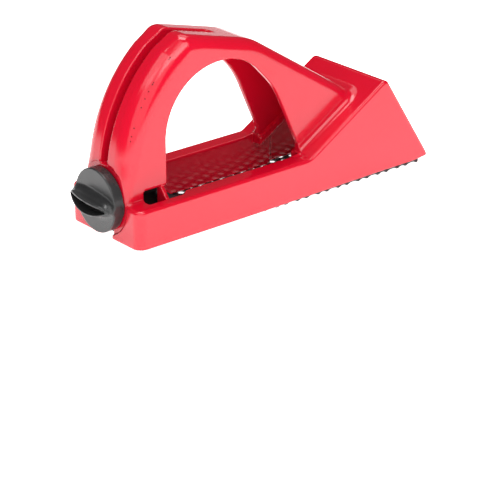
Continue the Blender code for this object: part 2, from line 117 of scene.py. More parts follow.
# ---- blade ---------------------------------------------------------------------------------------
BLADE_REAR = 4.6
BLADE_FRONT = 150.6
BLADE_HALF_WIDTH = 21.0
BLADE_UNDERSIDE = -0.3
BLADE_THICKNESS = 0.8
TOOTH_DROP = 0.86
MARGIN_DROP = 0.8
SLIT_HALF_LENGTH = 1.45
SLIT_HALF_WIDTH = 0.28
SLIT_BOW = 0.42
SLIT_DROP = 0.5
PUNCH_RADIUS = 1.7
LIP_RADIUS = 2.2
ROW_COUNT = 18
ROW_SPACING = 2.19
ROW_SHIFT = 4.76
ROW_REPEAT = 11.03
FIRST_ROW_Y = 19.5
FIRST_PUNCH_X = 139.5
BEND_RADIUS = 0.45
EAR_TOP = 7.8
REAR_EAR_TOP = 4.9
EAR_HALF_WIDTH = 14.0
EAR_CORNER = 2.2
NOTCH_RADIUS = 4.2
NOTCH_DEPTH = 4.6
REAR_EAR_HALF_WIDTH = 9.0

# ---- knob, stud and slider -----------------------------------------------------------------------
KNOB_RADIUS = 13.1
KNOB_FRONT = 0.5
KNOB_FACE = -4.0
WING_REAR = -9.8
WING_HALF_LENGTH = 12.6
WING_HALF_WIDTH = 4.0
WING_TILT = 5.0
CREST_HEIGHT = 2.1
COLLAR_RADIUS = 4.6
COLLAR_FRONT = 8.0
STUD_RADIUS = 2.4
STUD_REAR = -3.0
STUD_FRONT = 23.0
THREAD_PITCH = 0.8
THREAD_DEPTH = 0.4
SLIDER_REAR = 9.0
BOSS_RADIUS = 6.1
BOSS_FRONT = 24.6
STEM_HALF_WIDTH = 7.2
ARM_HALF_LENGTH = 16.8
ARM_RADIUS = 2.0
ARM_Z = 13.0
FOOT_REAR = 6.8
FOOT_HALF_WIDTH = 15.5
FOOT_BOTTOM = 1.1
FOOT_TOP = 8.0
NUT_ACROSS_FLATS = 8.0
NUT_POCKET_FRONT = 17.3

# ---- camera --------------------------------------------------------------------------------------
CAMERA_AZIMUTH = -39.2
CAMERA_ELEVATION = 23.5
CAMERA_ROLL = -0.56
CAMERA_DISTANCE = 885.0
CAMERA_LENS = 163.6
AIM = (72.0, 0.0, 20.0)
AIM_RIGHT = -2.6
AIM_UP = -38.9

# ---- meshes: grid steps in mm, and the share of the body's faces that is kept --------------------
BODY_STEP = 0.62
BODY_KEEP = 0.5
SMALL_STEP = 0.4


# ---- signed distances ----------------------------------------------------------------------------
def trimmed(a, b, radius=0.0):
    """The part that two solids share, its new edge rounded."""
    if np.isscalar(radius) and radius == 0.0:
        return np.maximum(a, b)
    corner = np.hypot(np.maximum(a + radius, 0), np.maximum(b + radius, 0))
    return np.minimum(-radius, np.maximum(a, b)) + corner


def joined(a, b, radius=0.0):
    """Two solids as one, with a fillet in the inner corner."""
    return -trimmed(-a, -b, radius)


def carved(a, b, radius=0.0):
    """Solid a without solid b."""
    return trimmed(a, -b, radius)


def beside(x, z, start, end, inset=0.0):
    """Distance out of the half-plane that lies to the right of the line from start to end."""
    run, rise = end[0] - start[0], end[1] - start[1]
    length = math.hypot(run, rise)
    return ((z - start[1]) * run - (x - start[0]) * rise) / length + inset


def inside_outline(x, z, points):
    """Distance out of a closed outline of (x, z) points."""
    nearest = np.full(np.broadcast(x, z).shape, 1e9, np.float32)
    within = np.zeros(nearest.shape, bool)
    for (ax, az), (bx, bz) in zip(points, points[1:] + points[:1]):
        run, rise = bx - ax, bz - az
        share = np.clip(((x - ax) * run + (z - az) * rise) / (run * run + rise * rise), 0, 1)
        nearest = np.minimum(nearest, np.hypot(x - ax - share * run, z - az - share * rise))
        if rise:
            passed = (z >= min(az, bz)) & (z < max(az, bz)) & (x < ax + (z - az) / rise * run)
            within ^= passed
    return np.where(within, -nearest, nearest)


def rounded(corners, step=0.4):
    """A closed outline whose corners (x, z, radius) are replaced by arcs."""
    points = []
    count = len(corners)
    for i, (x, z, radius) in enumerate(corners):
        here = Vector((x, z))
        if not radius:
            points.append((x, z))
            continue
        back = (Vector(corners[i - 1][:2]) - here).normalized()
        ahead = (Vector(corners[(i + 1) % count][:2]) - here).normalized()
        half_turn = back.angle(ahead) / 2
        centre = here + (back + ahead).normalized() * (radius / math.sin(half_turn))
        first = here + back * (radius / math.tan(half_turn)) - centre
        last = here + ahead * (radius / math.tan(half_turn)) - centre
        sweep = first.angle_signed(last)
        steps = max(4, round(abs(sweep) * radius / step))
        for j in range(steps + 1):
            turned = first.copy()
            turned.rotate(Matrix.Rotation(-sweep * j / steps, 2))
            points.append(tuple(centre + turned))
    return points


class Profile:
    """Distance out of a closed (x, z) outline, worked out once on a fine grid and then read off it."""

    def __init__(self, points, low=(-4.0, -4.0), high=(160.0, 84.0), step=0.25):
        self.low, self.step = low, step
        across = np.arange(low[0], high[0], step)
        up = np.arange(low[1], high[1], step)
        self.field = inside_outline(across[:, None], up[None, :], points)

    def __call__(self, x, z):
        u = np.clip((x - self.low[0]) / self.step, 0, self.field.shape[0] - 1.001)
        v = np.clip((z - self.low[1]) / self.step, 0, self.field.shape[1] - 1.001)
        i, j = u.astype(int), v.astype(int)
        s, t = u - i, v - j
        near = self.field[i, j] * (1 - s) + self.field[i + 1, j] * s
        far = self.field[i, j + 1] * (1 - s) + self.field[i + 1, j + 1] * s
        return near * (1 - t) + far * t


def arch_outline():
    """The handle from the side: an upright and then arched rear face, a flat top and a long slope."""
    radius = LEG_CENTRE[0]
    leg = [(0.0, 5.0)]
    for i in range(121):
        z = LEG_CENTRE[1] + (TOP_REAR[1] - 4.5 - LEG_CENTRE[1]) * i / 120
        leg.append((radius - math.sqrt(radius ** 2 - (z - LEG_CENTRE[1]) ** 2), z))
    corner = radius - math.sqrt(radius ** 2 - (TOP_REAR[1] - LEG_CENTRE[1]) ** 2)
    bends = [(*leg[-1], 0), (corner + 2.6, TOP_REAR[1] + 0.6, 6.0), (*TOP_FRONT, 30.0), (*SADDLE, 0)]
    return leg + rounded(bends)[1:] + [(SADDLE[0] + 10.0, SADDLE[1] - 10.0), (SADDLE[0] + 10.0, 5.0)]


ARCH = Profile(arch_outline())
HOLE = Profile(rounded(HOLE_OUTLINE))


def groove_floor(x, z, offset=0.0):
    """Distance in front of the groove's floor, or of the face that far behind it."""
    radius = (GROOVE_RADII[0] + GROOVE_RADII[1]) / 2
    across = np.minimum(x - GROOVE_CENTRE[0], 0) * radius / GROOVE_RADII[0]
    up = np.maximum(z - GROOVE_CENTRE[1], 0) * radius / GROOVE_RADII[1]
    return np.hypot(across, up) - radius + offset


def blend_between(value, start, end):
    """0 before start, 1 after end, and smooth between them."""
    share = np.clip((value - start) / (end - start), 0, 1)
    return share * share * (3 - 2 * share)


# ---- the moulded body ----------------------------------------------------------------------------
def lower_edge(x):
    """The sides' lower edge lifts a little towards the nose."""
    return EDGE_LIFT * blend_between(x, 40.0, 135.0) + TOE_LIFT * blend_between(x, 144.0, 153.5)


def tray(x, side, z):
    """The low tray and the wedge nose, solid."""
    plan = trimmed(side - HALF_WIDTH, -x, REAR_CORNER_RADIUS)
    upper = joined(z - RIM_HEIGHT, beside(x, z, RAMP_START, RIDGE), 0.3)
    shell = trimmed(upper, beside(x, z, RIDGE, NOSE), RIDGE_ROUNDING)
    shell = trimmed(shell, x - TOE, 1.2)
    return trimmed(trimmed(shell, plan, RIM_ROUNDING), lower_edge(x) - z, 0.4)


def handle(x, side, z):
    """The arched handle, solid, down to the floor of the tray."""
    arch = trimmed(ARCH(x, z), 11.0 - z)
    rounding = HANDLE_ROUNDING + REAR_ROUNDING_GAIN * blend_between(x, 42.0, 24.0)
    rounding = rounding - FOOT_ROUNDING_LOSS * blend_between(z, 34.0, 18.0) * (x < 60.0)
    return trimmed(arch, side - HANDLE_HALF_WIDTH, rounding)


def tray_cavity(x, side, z):
    """The hollow of the tray and the nose, open on top and beside the handle's leg."""
    under_ramp = beside(x, z, RAMP_START, RIDGE, PLATE)
    open_top = trimmed(trimmed(DECK_LENGTH - x, x - RAMP_START[0]), z - RIM_HEIGHT - 1.0)
    roof = joined(joined(z - DECK_UNDERSIDE, open_top, 0.6), under_ramp, 0.4)
    beside_leg = trimmed(trimmed(DECK_LENGTH - x, x - HOLE_OUTLINE[0][0] - 1.0), z - LEG_OPENING_TOP, 0.8)
    roof = joined(roof, beside_leg)
    ends = trimmed(REAR_WALL - x, x - (RECESS_BACK - PLATE - 0.4))
    ends = trimmed(ends, beside(x, z, RIDGE, NOSE, PLATE), 1.0)
    lining = LINING * blend_between(x, 25.5, 29.5) * blend_between(x, 100.0, 96.0)
    plan = trimmed(ends, side - INNER_HALF_WIDTH + lining, 1.2)
    return trimmed(plan, roof, 0.6)


def handle_cavity(x, side, z):
    """The hollow under the handle's outer skin. It runs on through the ramp into the nose."""
    arch = trimmed(ARCH(x, z) + HANDLE_WALL, 9.0 - z)
    ledge = 1.7 * blend_between(beside(x, z, RAMP_START, RIDGE), 0.2, -0.2) * (x > 80.0)
    return trimmed(arch, side - (HANDLE_HALF_WIDTH - HANDLE_WALL) + ledge, 1.2)


def openings(solid, x, side, z):
    """Everything that is cut through the outer shape, apart from the hollow."""
    hole = trimmed(HOLE(x, z), side - INNER_HALF_WIDTH)
    solid = carved(solid, trimmed(hole, 16.9 - z), 0.5)
    groove = trimmed(side - GROOVE_HALF_WIDTH, -groove_floor(x, z), 0.5)
    groove = trimmed(groove, x - GROOVE_FRONT, 1.0)
    solid = carved(solid, trimmed(groove, GROOVE_BOTTOM - z, 0.4), 0.7)
    radial = np.hypot(side, z - AXIS_Z)
    solid = carved(solid, trimmed(radial - SEAT_RADIUS, x - SEAT_DEPTH, 0.3), 0.4)
    slot = np.hypot(side, np.maximum(z - AXIS_Z, 0)) - SHANK_SLOT_RADIUS
    solid = carved(solid, trimmed(slot, x - 6.0), 0.3)
    window = trimmed(side - WINDOW_HALF_WIDTH, WINDOW_HEIGHTS[0] - z, 0.6)
    window = trimmed(window, z - WINDOW_HEIGHTS[1], 0.6)
    window = trimmed(window, -beside(x, z, RIDGE, NOSE, PLATE + 3.0))
    return carved(solid, window, 0.4)


def nose_recess(solid, x, side, z):
    """The step that takes the blade's front ears, with the rounded tooth between them."""
    recess = trimmed(side - RECESS_HALF_WIDTH, z - RECESS_TOP, 0.8)
    recess = trimmed(recess, RECESS_BACK - x, 0.5)
    solid = carved(solid, recess, 0.5)
    tooth = np.hypot(side, np.maximum(TOOTH_CENTRE_Z - z, 0)) - TOOTH_RADIUS
    tooth = trimmed(trimmed(tooth, z - RECESS_TOP - 0.5), x - TOOTH_FRONT, 0.4)
    tooth = trimmed(tooth, RECESS_BACK - 0.6 - x)
    return joined(solid, tooth, 0.5)


def leg_web(x, side, z):
    """The thin web from the leg's lower front corner down and out to the rim."""
    web = trimmed(WEB[0] - x, x - WEB[1])
    at_leg = (HANDLE_HALF_WIDTH - 0.6, LEG_OPENING_TOP + 0.6)
    at_rim = (INNER_HALF_WIDTH + 0.6, RIM_HEIGHT - 1.4)
    top = beside(side, z, at_leg, at_rim)
    web = trimmed(trimmed(web, top, 0.4), WEB_BOTTOM - z, 0.4)
    return trimmed(web, trimmed(side - INNER_HALF_WIDTH - 1.0, HANDLE_HALF_WIDTH - HANDLE_WALL - side))


def body_distance(x, y, z):
    """Distance out of the whole moulding."""
    side = np.abs(y)
    fillet = FILLET + NOSE_FILLET_GAIN * blend_between(x, 80.0, 88.0)
    solid = joined(tray(x, side, z), handle(x, side, z), fillet)
    solid = carved(solid, tray_cavity(x, side, z), 0.7)
    solid = carved(solid, handle_cavity(x, side, z), 0.4)
    column = trimmed(side - CHANNEL_HALF_WIDTH, ARCH(x, z) + 1.2, 0.4)
    column = trimmed(column, -groove_floor(x, z, 2.6), 0.5)
    column = trimmed(column, CHANNEL_BOTTOM - z, 0.4)
    solid = joined(solid, column, 0.4)
    solid = joined(solid, leg_web(x, side, z), 0.5)
    solid = openings(solid, x, side, z)
    solid = nose_recess(solid, x, side, z)
    rebate = trimmed(side - (BLADE_HALF_WIDTH + 0.35), z - (BLADE_UNDERSIDE + BLADE_THICKNESS + 0.3))
    return carved(solid, trimmed(rebate, REAR_WALL - x), 0.25)


# ---- signed distance to mesh ---------------------------------------------------------------------
CUBE = np.array([[i, j, k] for i in (0, 1) for j in (0, 1) for k in (0, 1)])
CUBE_EDGES = [(a, b) for a in range(8) for b in range(a + 1, 8) if np.abs(CUBE[a] - CUBE[b]).sum() == 1]


def net_corners(field, axes):
    """One point in every grid cell that the surface crosses: the middle of its edge crossings."""
    shape = tuple(n - 1 for n in field.shape)
    inside = field < 0
    filled = sum(inside[i:i + shape[0], j:j + shape[1], k:k + shape[2]].astype(np.int8) for i, j, k in CUBE)
    cells = np.argwhere((filled > 0) & (filled < 8))
    values = np.stack([field[tuple((cells + corner).T)] for corner in CUBE], axis=1)
    total = np.zeros((len(cells), 3))
    hits = np.zeros(len(cells))
    for a, b in CUBE_EDGES:
        crosses = (values[:, a] < 0) != (values[:, b] < 0)
        share = np.where(crosses, values[:, a] / np.where(crosses, values[:, a] - values[:, b], 1), 0)
        total += crosses[:, None] * (CUBE[a] + share[:, None] * (CUBE[b] - CUBE[a]))
        hits += crosses
    step = axes[0][1] - axes[0][0]
    low = np.array([axis[0] for axis in axes])
    numbers = np.full(shape, -1)
    numbers[tuple(cells.T)] = np.arange(len(cells))
    return low + (cells + total / hits[:, None]) * step, numbers, inside


def net_faces(numbers, inside):
    """A quad round every grid edge that passes through the surface, facing out."""
    quads = []
    for axis in range(3):
        one, two = (axis + 1) % 3, (axis + 2) % 3
        low = np.take(inside, range(inside.shape[axis] - 1), axis)
        high = np.take(inside, range(1, inside.shape[axis]), axis)
        spots = np.argwhere(low != high)
        keep = (spots[:, one] > 0) & (spots[:, two] > 0)
        keep &= (spots[:, one] < numbers.shape[one]) & (spots[:, two] < numbers.shape[two])
        spots = spots[keep]
        ring = []
        for back_one, back_two in ((1, 1), (0, 1), (0, 0), (1, 0)):
            cell = spots.copy()
            cell[:, one] -= back_one
            cell[:, two] -= back_two
            ring.append(numbers[tuple(cell.T)])
        quad = np.stack(ring, axis=1)
        outward = low[tuple(spots.T)]
        quads.append(np.where(outward[:, None], quad, quad[:, ::-1]))
    return np.concatenate(quads)


def slope_of(distance, points, reach):
    """Which way, and how fast, the distance grows at each point."""
    columns = []
    for axis in range(3):
        nudge = np.zeros(3)
        nudge[axis] = reach
        ahead = distance(*(points + nudge).T)
        behind = distance(*(points - nudge).T)
        columns.append((ahead - behind) / (2 * reach))
    return np.stack(columns, axis=1)


def solid_mesh(name, distance, low, high, step, keep=1.0):
    """The surface of a signed distance as an object, with normals from the distance itself."""
    axes = [np.arange(a, b + step, step) for a, b in zip(low, high)]
    grid = [axis.reshape([-1 if i == n else 1 for i in range(3)]) for n, axis in enumerate(axes)]
    field = distance(*grid)
    points, numbers, inside = net_corners(field, axes)
    quads = net_faces(numbers, inside)
    for _ in range(3):
        slope = slope_of(distance, points, 0.02)
        size = np.maximum((slope ** 2).sum(1), 0.05)
        move = distance(*points.T)[:, None] * slope / size[:, None]
        points -= np.clip(move, -step / 2, step / 2)
    return mesh_from(name, points, quads, keep, distance)


def mesh_from(name, points, quads, keep, distance):
    """An object from points and quads, thinned to the share to keep, its normals from the distance."""
    mesh = bpy.data.meshes.new(name)
    mesh.from_pydata(points.tolist(), [], quads.tolist())
    made = bpy.data.objects.new(name, mesh)
    bpy.context.scene.collection.objects.link(made)
    if keep < 1.0:
        thin = made.modifiers.new("thin", "DECIMATE")
        thin.ratio = keep
        bpy.context.view_layer.update()
        mesh = bpy.data.meshes.new_from_object(made.evaluated_get(bpy.context.evaluated_depsgraph_get()))
        made.modifiers.clear()
        made.data = mesh
    spots = np.zeros(len(mesh.vertices) * 3, np.float32)
    mesh.vertices.foreach_get("co", spots)
    spots = spots.reshape(-1, 3).astype(float)
    normals = slope_of(distance, spots, 0.12)
    normals /= np.maximum(np.linalg.norm(normals, axis=1, keepdims=True), 1e-6)
    mesh.vertices.foreach_set("co", (spots * MM + CORNER).astype(np.float32).ravel())
    mesh.polygons.foreach_set("use_smooth", [True] * len(mesh.polygons))
    mesh.update()
    mesh.normals_split_custom_set_from_vertices(normals.tolist())
    return made


# ---- blade ---------------------------------------------------------------------------------------
def punch_centres():
    """Where the blade is punched: slanting rows, one behind the next."""
    centres = []
    for row in range(ROW_COUNT):
        y = FIRST_ROW_Y - ROW_SPACING * row
        x = (FIRST_PUNCH_X + ROW_SHIFT * row) % ROW_REPEAT
        while x < BLADE_FRONT - 2.6:
            if x > BLADE_REAR + 2.8:
                centres.append((x, y))
            x += ROW_REPEAT
    return centres


def is_slit(x, y):
    """Near the two ends, where the ears are bent up, the punches only part the steel."""
    return (x > 139.0 and abs(y) < 12.5) or (x < 20.0 and abs(y) < 14.0)


def hole_rings(x, y):
    """The rings of points round a punch, inner one first, each point with the drop of its lip."""
    if is_slit(x, y):
        sides = []
        for edge in (1, -1):
            stretch = []
            for i in range(8):
                v = -SLIT_HALF_LENGTH + 2 * SLIT_HALF_LENGTH * i / 7
                bow = SLIT_BOW * math.sin(math.pi * v / SLIT_HALF_LENGTH)
                taper = SLIT_HALF_WIDTH * math.sqrt(max(0.12, 1 - (v / 1.5) ** 2))
                drop = SLIT_DROP * max(0.0, math.cos(math.pi * v / 3.4)) * (edge < 0)
                stretch.append((x + bow + edge * taper, y + v, drop))
            sides.append(stretch)
        return [sides[0] + sides[1][::-1]]
    rings = []
    for radius, share in ((PUNCH_RADIUS, 1.0), (PUNCH_RADIUS + 0.22, 0.86), (PUNCH_RADIUS + 0.45, 0.36),
                          (LIP_RADIUS, 0.0)):
        ring = []
        for i in range(16):
            turn = 2 * math.pi * i / 16
            back = max(0.0, -math.cos(turn)) ** 0.7
            lean = 0.3 * back * share
            u = x + radius * math.cos(turn) + lean
            ring.append((u, y + radius * math.sin(turn), TOOTH_DROP * back * share))
        rings.append(ring)
    return rings


def margin_drop(x, y):
    """The teeth of the two rows nearest the edge push the edge down with them, less towards the rear."""
    lowest = 0.0
    for row in ((0, 1) if y > 0 else (ROW_COUNT - 1, ROW_COUNT - 2)):
        tooth = FIRST_PUNCH_X + ROW_SHIFT * row - PUNCH_RADIUS
        away = (x - tooth + ROW_REPEAT / 2) % ROW_REPEAT - ROW_REPEAT / 2
        lowest = max(lowest, math.exp(-(away / 1.2) ** 2))
    return MARGIN_DROP * lowest * float(blend_between(x, 25.0, 100.0))


def long_edge(start, end, y):
    """Points along one long edge of the sheet, close enough together to show each tooth."""
    count = round(abs(end - start) / 0.6)
    return [(start + (end - start) * i / count, y) for i in range(count + 1)]


def sheet_outline():
    """The flat blank: a long rectangle with an ear at each end, the front one notched."""
    front = BLADE_FRONT - 1.0
    ear = front + EAR_TOP - 0.2
    rear = BLADE_REAR + 1.0
    notch = []
    for i in range(11):
        turn = math.pi * i / 10
        notch.append((ear - 0.4 - (NOTCH_DEPTH - 0.4) * math.sin(turn), NOTCH_RADIUS * math.cos(turn)))
    right = [(front, BLADE_HALF_WIDTH - 1.2), (front, EAR_HALF_WIDTH), (ear - EAR_CORNER, EAR_HALF_WIDTH),
             (ear - EAR_CORNER * 0.3, EAR_HALF_WIDTH - EAR_CORNER * 0.3), (ear, EAR_HALF_WIDTH - EAR_CORNER),
             (ear, NOTCH_RADIUS + 0.7)]
    left = [(u, -v) for u, v in right[::-1]]
    rear_ear = rear - REAR_EAR_TOP + 0.6
    back = [(rear, -BLADE_HALF_WIDTH + 1.2), (rear, -REAR_EAR_HALF_WIDTH),
            (rear_ear + 1.0, -REAR_EAR_HALF_WIDTH), (rear_ear, -REAR_EAR_HALF_WIDTH + 1.0)]
    back += [(u, -v) for u, v in back[::-1]]
    far_edge = long_edge(rear + 1.2, front - 1.2, BLADE_HALF_WIDTH)
    near_edge = long_edge(front - 1.2, rear + 1.2, -BLADE_HALF_WIDTH)
    return far_edge + right + notch + left + near_edge + back


def folded(u, drop, level):
    """Where a point of the flat blank goes once the ears are bent up: (x, z)."""
    front = BLADE_FRONT - BLADE_THICKNESS - BEND_RADIUS
    rear = BLADE_REAR + BLADE_THICKNESS + BEND_RADIUS
    radius = BEND_RADIUS + BLADE_THICKNESS - level
    way, over = (1, u - front) if u > (front + rear) / 2 else (-1, rear - u)
    start = front if way > 0 else rear
    top = BLADE_UNDERSIDE + BLADE_THICKNESS
    if over <= 0:
        return u, BLADE_UNDERSIDE + level - drop
    middle = (BEND_RADIUS + BLADE_THICKNESS / 2) * math.pi / 2
    turn = min(over / middle, 1.0) * math.pi / 2
    rise = max(0.0, over - middle)
    return start + way * radius * math.sin(turn), top + BEND_RADIUS - radius * math.cos(turn) + rise


def flat_blank():
    """The blank, punched and cut into triangles: points (u, y, drop) and triangles."""
    outline = sheet_outline()
    spots = [(u, v, margin_drop(u, v) if abs(v) == BLADE_HALF_WIDTH else 0.0) for u, v in outline]
    rims = [(i, (i + 1) % len(outline)) for i in range(len(outline))]
    holes = []
    for x, y in punch_centres():
        rings = hole_rings(x, y)
        for ring in rings:
            if max(abs(p[1]) for p in ring) > BLADE_HALF_WIDTH - 0.1:
                ring = [(u, min(v, BLADE_HALF_WIDTH - 0.15), d) for u, v, d in ring]
            first = len(spots)
            spots += ring
            rims += [(first + i, first + (i + 1) % len(ring)) for i in range(len(ring))]
        holes.append([(u, v) for u, v, _ in rings[0]])
    for start, way in ((BLADE_FRONT - BLADE_THICKNESS - BEND_RADIUS, 1),
                       (BLADE_REAR + BLADE_THICKNESS + BEND_RADIUS, -1)):
        width = EAR_HALF_WIDTH if way > 0 else REAR_EAR_HALF_WIDTH
        for i in range(4):
            u = start + way * i * (BEND_RADIUS + BLADE_THICKNESS / 2) * math.pi / 6
            first = len(spots)
            spots += [(u, -width + 0.05, 0.0), (u, width - 0.05, 0.0)]
            rims.append((first, first + 1))
    flat, _, faces, origins, _, _ = delaunay_2d_cdt([Vector(s[:2]) for s in spots], rims, [], 1, 1e-5)
    drops = [spots[source[0]][2] if source else 0.0 for source in origins]
    middles = np.array([sum((flat[i] for i in face), Vector((0, 0))) / len(face) for face in faces])
    solid = np.ones(len(faces), bool)
    for hole in holes:
        low, high = np.min(hole, axis=0), np.max(hole, axis=0)
        near = np.where(((middles > low) & (middles < high)).all(1))[0]
        inside = inside_outline(middles[near, 0], middles[near, 1], hole) < 0
        solid[near[inside]] = False
    solid &= inside_outline(middles[:, 0], middles[:, 1], outline) < 0
    kept = [face for face, stays in zip(faces, solid) if stays]
    return [(p.x, p.y, d) for p, d in zip(flat, drops)], kept


def make_blade():
    """The blank with its ears folded up, given its thickness and closed round every edge."""
    spots, faces = flat_blank()
    shape = bmesh.new()
    sheets = []
    for level in (0.0, BLADE_THICKNESS):
        layer = []
        for u, v, drop in spots:
            x, z = folded(u, drop, level)
            layer.append(shape.verts.new(CORNER + np.array([x, v, z]) * MM))
        sheets.append(layer)
    lower, upper = sheets
    for face in faces:
        shape.faces.new([lower[i] for i in reversed(face)])
        shape.faces.new([upper[i] for i in face])
    once = {}
    for face in faces:
        for a, b in zip(face, face[1:] + face[:1]):
            if once.pop((b, a), None) is None:
                once[(a, b)] = True
    for a, b in once:
        shape.faces.new([lower[b], lower[a], upper[a], upper[b]][::-1])
    bmesh.ops.delete(shape, geom=[v for v in shape.verts if not v.link_faces], context="VERTS")
    bmesh.ops.recalc_face_normals(shape, faces=shape.faces)
    return finished("perforated_blade", shape, 40)


def finished(name, shape, sharp_degrees):
    mesh = bpy.data.meshes.new(name)
    shape.to_mesh(mesh)
    shape.free()
    made = bpy.data.objects.new(name, mesh)
    bpy.context.scene.collection.objects.link(made)
    mesh.polygons.foreach_set("use_smooth", [True] * len(mesh.polygons))
    mesh.set_sharp_from_angle(angle=math.radians(sharp_degrees))
    return made


# ---- knob, stud and slider -----------------------------------------------------------------------
def lens(u, v, half_length, half_width):
    """Distance out of a pointed oval made of two equal arcs."""
    radius = (half_length ** 2 + half_width ** 2) / (2 * half_width)
    upper = np.hypot(u, v + radius - half_width) - radius
    lower = np.hypot(u, v - radius + half_width) - radius
    return trimmed(upper, lower, 0.3)


def knob_distance(x, y, z):
    """A thick disc with a tapering finger wing across it, hollowed below the wing's crest."""
    tilt = math.radians(WING_TILT)
    u = y * math.cos(tilt) + (z - AXIS_Z) * math.sin(tilt)
    v = (z - AXIS_Z) * math.cos(tilt) - y * math.sin(tilt)
    radial = np.hypot(y, z - AXIS_Z)
    disc = trimmed(radial - KNOB_RADIUS, trimmed(x - KNOB_FRONT, KNOB_FACE - x), 0.5)
    crest = (KNOB_FACE - WING_REAR) * np.sqrt(np.maximum(1 - (u / (WING_HALF_LENGTH + 1.8)) ** 2, 0.02))
    outline = trimmed(lens(u, v, WING_HALF_LENGTH, WING_HALF_WIDTH), v - CREST_HEIGHT, 0.4)
    wing = trimmed(trimmed(outline, (KNOB_FACE - x - crest) * 0.93, 0.5), x + 1.0)
    solid = joined(disc, wing, 3.2)
    pocket = trimmed(lens(u, v, WING_HALF_LENGTH - 1.3, WING_HALF_WIDTH - 0.8), v - CREST_HEIGHT + 1.1, 0.3)
    solid = carved(solid, trimmed(pocket, x - KNOB_FACE + 0.8, 0.8), 0.25)
    solid = trimmed(solid, radial - KNOB_RADIUS, 0.4)
    collar = trimmed(radial - COLLAR_RADIUS, trimmed(x - COLLAR_FRONT, -x - 1.0), 0.4)
    solid = joined(solid, collar, 0.5)
    return carved(solid, trimmed(radial - STUD_RADIUS - 0.3, STUD_REAR - 0.3 - x), 0.2)


def slider_distance(x, y, z):
    """The clamp: a round boss on a stem, two arms, a wedge foot and a pocket for the nut."""
    side = np.abs(y)
    radial = np.hypot(side, z - AXIS_Z)
    boss = trimmed(radial - BOSS_RADIUS, trimmed(x - BOSS_FRONT, SLIDER_REAR - x), 0.8)
    stem = trimmed(side - STEM_HALF_WIDTH, z - AXIS_Z - 1.0, 1.2)
    stem = trimmed(stem, trimmed(FOOT_BOTTOM + 0.9 - z, trimmed(x - BOSS_FRONT + 2.6, SLIDER_REAR - x)), 0.8)
    arm_across = np.hypot(np.maximum(side - (ARM_HALF_LENGTH - ARM_RADIUS), 0), z - ARM_Z) - ARM_RADIUS
    arms = trimmed(arm_across, trimmed(20.3 - x, x - BOSS_FRONT + 0.6), 0.7)
    wedge = trimmed(z - FOOT_TOP, beside(x, z, (20.5, FOOT_TOP), (25.0, 2.4)), 1.0)
    wedge = trimmed(wedge, beside(x, z, (FOOT_REAR, 5.4), (9.6, FOOT_TOP)), 0.8)
    wedge = trimmed(wedge, trimmed(FOOT_REAR - x, x - 25.0))
    wedge = trimmed(trimmed(wedge, FOOT_BOTTOM - z, 0.3), side - FOOT_HALF_WIDTH, 0.9)
    solid = joined(joined(boss, stem, 0.8), joined(arms, wedge, 1.0), 1.2)
    solid = trimmed(solid, trimmed(FOOT_BOTTOM - z, x - BOSS_FRONT - 0.4))
    solid = carved(solid, radial - STUD_RADIUS - 0.5, 0.3)
    flats = [np.abs((z - AXIS_Z) * math.cos(t) - y * math.sin(t)) for t in (0, math.pi / 3, -math.pi / 3)]
    hexagon = np.maximum(np.maximum(flats[0], flats[1]), flats[2]) - NUT_ACROSS_FLATS / 2 - 0.3
    return carved(solid, trimmed(hexagon, x - NUT_POCKET_FRONT), 0.2)


def make_stud():
    """A screw thread: rings of points whose radius follows the helix."""
    around, per_pitch = 32, 8
    length = STUD_FRONT - STUD_REAR
    rings = round(length / THREAD_PITCH * per_pitch)
    shape = bmesh.new()
    rows = []
    for i in range(rings + 1):
        along = STUD_REAR + length * i / rings
        taper = min(1.0, (STUD_FRONT - along) / 0.8)
        row = []
        for j in range(around):
            turn = 2 * math.pi * j / around
            phase = (along / THREAD_PITCH + j / around) % 1.0
            crest = min(1.0, max(0.0, 2.4 * abs(phase - 0.5) - 0.1))
            radius = STUD_RADIUS - THREAD_DEPTH * (1 - crest * taper) - 0.1
            row.append(shape.verts.new(CORNER + MM * np.array(
                [along, radius * math.cos(turn), AXIS_Z + radius * math.sin(turn)])))
        rows.append(row)
    for low, high in zip(rows, rows[1:]):
        for j in range(around):
            k = (j + 1) % around
            shape.faces.new([low[j], low[k], high[k], high[j]])
    shape.faces.new(rows[0])
    shape.faces.new(rows[-1][::-1])
    bmesh.ops.recalc_face_normals(shape, faces=shape.faces)
    return finished("threaded_stud", shape, 50)


